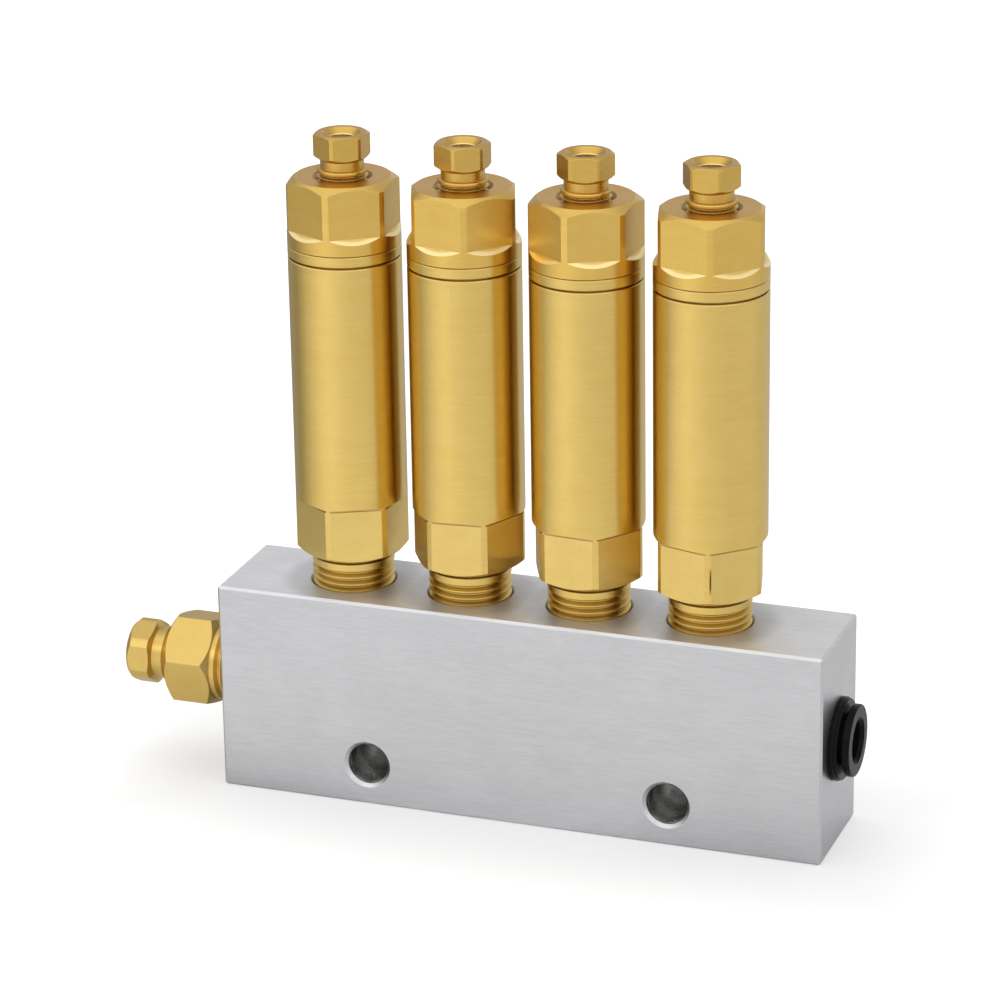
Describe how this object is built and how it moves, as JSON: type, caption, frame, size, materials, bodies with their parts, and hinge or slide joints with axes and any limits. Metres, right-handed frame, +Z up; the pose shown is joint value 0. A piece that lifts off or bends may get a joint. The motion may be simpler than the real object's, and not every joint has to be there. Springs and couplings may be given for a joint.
{
  "type": "lubrication distributor",
  "caption": "Drilled aluminium bar with a row of upright brass piston metering valves, a compression inlet at one end and a push-in tube connector at the other, for centralised lubrication.",
  "frame": {"origin": "centre of the bar's underside", "axes": "+Z up along the valves, +X along the bar from the compression inlet to the push-in connector, -Y is the front with the bevelled mouths of the fixing holes"},
  "size_m": [0.1541, 0.025, 0.1362],
  "materials": {
    "bar_aluminium": "fine brushed, clear",
    "valve_brass": "turned and milled, satin",
    "nut_brass": "turned and milled, satin",
    "seal_rubber": "matt",
    "piston_steel": "ground",
    "spring_steel": "drawn wire and strip",
    "connector_plastic": "moulded, satin",
    "sleeve_plastic": "moulded, satin"
  },
  "bodies": {
    "distributor": {"manifold_block": "bar_aluminium", "valve_body_1": "valve_brass", "valve_body_2": "valve_brass", "valve_body_3": "valve_brass", "valve_body_4": "valve_brass", "dose_ring_1": "valve_brass", "dose_ring_2": "valve_brass", "dose_ring_3": "valve_brass", "dose_ring_4": "valve_brass", "outlet_cap_1": "valve_brass", "outlet_cap_2": "valve_brass", "outlet_cap_3": "valve_brass", "outlet_cap_4": "valve_brass", "outlet_nut_1": "nut_brass", "outlet_nut_2": "nut_brass", "outlet_nut_3": "nut_brass", "outlet_nut_4": "nut_brass", "cutting_ring_1": "nut_brass", "cutting_ring_2": "nut_brass", "cutting_ring_3": "nut_brass", "cutting_ring_4": "nut_brass", "cap_seal_1": "seal_rubber", "cap_seal_2": "seal_rubber", "cap_seal_3": "seal_rubber", "cap_seal_4": "seal_rubber", "inlet_adapter": "valve_brass", "inlet_nut": "nut_brass", "inlet_cutting_ring": "nut_brass", "push_in_body": "connector_plastic", "grip_ring": "spring_steel", "tube_seal": "seal_rubber"},
    "piston_1": {"metering_piston_1": "piston_steel", "piston_seal_1": "seal_rubber", "return_spring_1": "spring_steel"},
    "check_1": {"check_cup_1": "seal_rubber"},
    "piston_2": {"metering_piston_2": "piston_steel", "piston_seal_2": "seal_rubber", "return_spring_2": "spring_steel"},
    "check_2": {"check_cup_2": "seal_rubber"},
    "piston_3": {"metering_piston_3": "piston_steel", "piston_seal_3": "seal_rubber", "return_spring_3": "spring_steel"},
    "check_3": {"check_cup_3": "seal_rubber"},
    "piston_4": {"metering_piston_4": "piston_steel", "piston_seal_4": "seal_rubber", "return_spring_4": "spring_steel"},
    "check_4": {"check_cup_4": "seal_rubber"},
    "sleeve": {"release_sleeve": "sleeve_plastic"}
  },
  "joints": [
    {"name": "piston_stroke_1", "type": "slide", "parent": "distributor", "child": "piston_1", "axis": [0, 0, 1], "range_m": [0, 0.01], "stiffness_N_per_m": 1200, "springref_m": -0.006, "deforming": ["return_spring_1"]},
    {"name": "check_lift_1", "type": "slide", "parent": "distributor", "child": "check_1", "axis": [0, 0, 1], "range_m": [0, 0.001]},
    {"name": "piston_stroke_2", "type": "slide", "parent": "distributor", "child": "piston_2", "axis": [0, 0, 1], "range_m": [0, 0.01], "stiffness_N_per_m": 1200, "springref_m": -0.006, "deforming": ["return_spring_2"]},
    {"name": "check_lift_2", "type": "slide", "parent": "distributor", "child": "check_2", "axis": [0, 0, 1], "range_m": [0, 0.001]},
    {"name": "piston_stroke_3", "type": "slide", "parent": "distributor", "child": "piston_3", "axis": [0, 0, 1], "range_m": [0, 0.01], "stiffness_N_per_m": 1200, "springref_m": -0.006, "deforming": ["return_spring_3"]},
    {"name": "check_lift_3", "type": "slide", "parent": "distributor", "child": "check_3", "axis": [0, 0, 1], "range_m": [0, 0.001]},
    {"name": "piston_stroke_4", "type": "slide", "parent": "distributor", "child": "piston_4", "axis": [0, 0, 1], "range_m": [0, 0.01], "stiffness_N_per_m": 1200, "springref_m": -0.006, "deforming": ["return_spring_4"]},
    {"name": "check_lift_4", "type": "slide", "parent": "distributor", "child": "check_4", "axis": [0, 0, 1], "range_m": [0, 0.001]},
    {"name": "release_press", "type": "slide", "parent": "distributor", "child": "sleeve", "axis": [-1, 0, 0], "range_m": [0, 0.0007], "stiffness_N_per_m": 1500, "springref_m": -0.0005}
  ]
}
